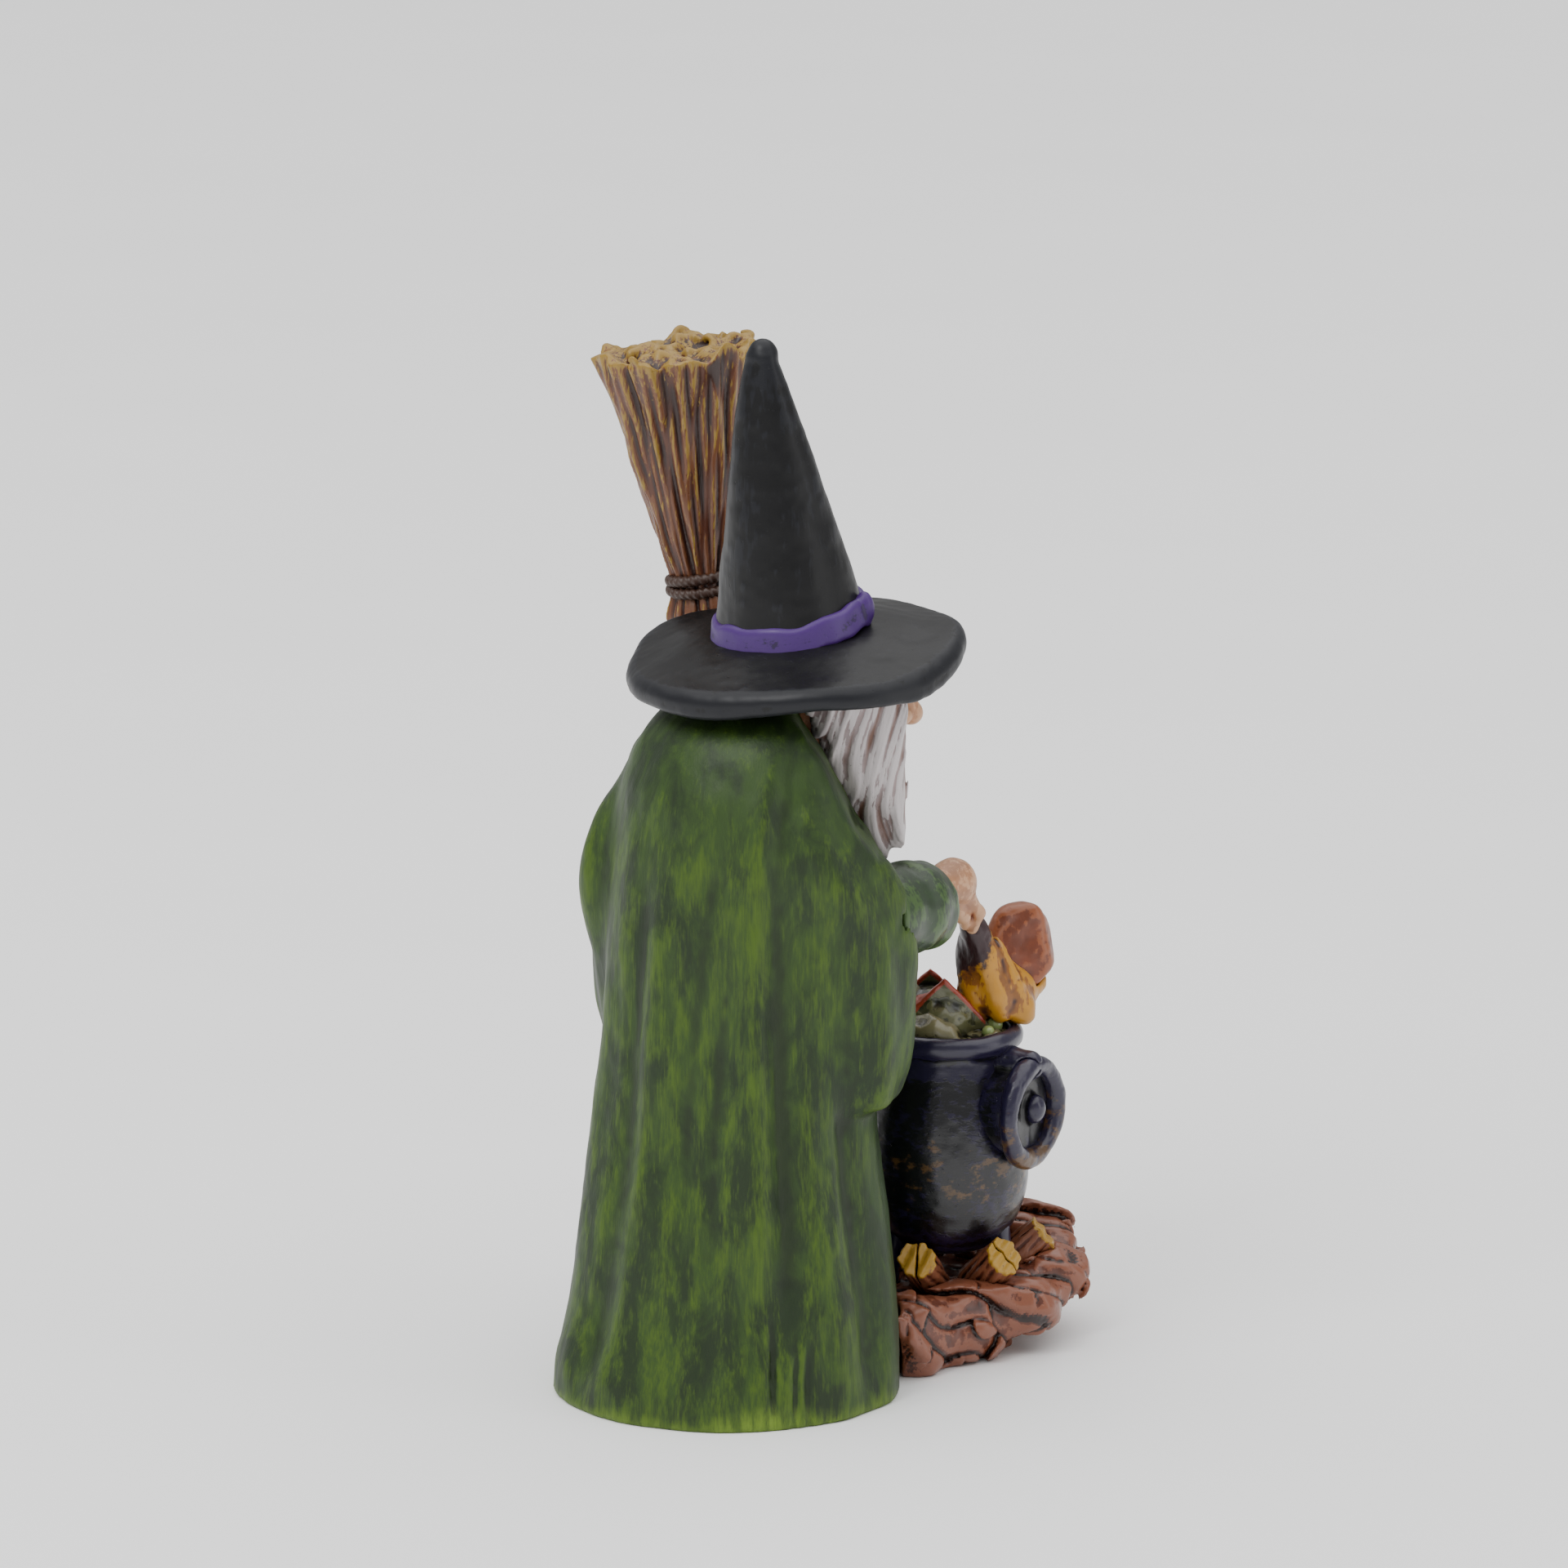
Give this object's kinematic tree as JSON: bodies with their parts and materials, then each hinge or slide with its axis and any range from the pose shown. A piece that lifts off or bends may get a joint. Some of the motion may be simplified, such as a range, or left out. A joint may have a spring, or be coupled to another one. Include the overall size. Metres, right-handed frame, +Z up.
{
  "type": "witch figurine",
  "caption": "Small standing resin figurine of a robed witch in a pointed hat, with a broom, reaching over a ring-handled cauldron on a rocky base.",
  "frame": {"origin": "centre of the footprint of the whole piece, on the surface it stands on", "axes": "+Z up to the tip of the hat, -Y the way the witch faces, -X towards her right hand"},
  "size_m": [0.0554, 0.0686, 0.1199],
  "materials": {
    "robe_paint": "matte dry-brushed green paint on resin",
    "sleeve_paint": "matte dark green paint on resin",
    "hat_paint": "satin black paint on resin",
    "band_paint": "satin purple paint on resin",
    "skin_paint": "matte flesh paint on resin",
    "hair_paint": "matte off-white dry-brushed paint on resin",
    "bristle_paint": "matte brown paint with yellow dry brush on resin",
    "handle_paint": "satin black-brown paint on resin",
    "cord_paint": "matte dark brown paint on resin",
    "pot_paint": "satin black paint with purple and ochre dry brush on resin",
    "brew_paint": "gloss olive paint on resin",
    "bubble_paint": "gloss pale green paint on resin",
    "toad_paint": "satin olive paint with a red lip on resin",
    "pouch_paint": "matte ochre paint on resin",
    "lump_paint": "satin red-brown paint on resin",
    "rock_paint": "satin brown paint on resin",
    "log_paint": "brown paint with yellow cut ends on resin"
  },
  "bodies": {
    "root": {"brew": "brew_paint", "brew_bubbles": "bubble_paint", "brew_toad": "toad_paint", "broom_bristles": "bristle_paint", "broom_cord_lower": "cord_paint", "broom_cord_upper": "cord_paint", "broom_handle": "handle_paint", "cauldron_foot_back": "pot_paint", "cauldron_foot_left": "pot_paint", "cauldron_foot_right": "pot_paint", "cauldron_lug_left": "pot_paint", "cauldron_lug_right": "pot_paint", "cauldron_pot": "pot_paint", "cauldron_ring_left": "pot_paint", "cauldron_ring_right": "pot_paint", "firewood_log_1": "log_paint", "firewood_log_2": "log_paint", "firewood_log_3": "log_paint", "firewood_log_4": "log_paint", "firewood_log_5": "log_paint", "firewood_log_6": "log_paint", "hair_left": "hair_paint", "hair_right": "hair_paint", "hat_band": "band_paint", "hat_brim": "hat_paint", "hat_crown": "hat_paint", "head": "skin_paint", "ingredient_lump": "lump_paint", "ingredient_pouch": "pouch_paint", "left_hand": "skin_paint", "left_inner_sleeve": "sleeve_paint", "left_outer_sleeve": "robe_paint", "right_hand": "skin_paint", "right_inner_sleeve": "sleeve_paint", "right_outer_sleeve": "robe_paint", "robe": "robe_paint", "rock_base": "rock_paint"}
  },
  "joints": []
}
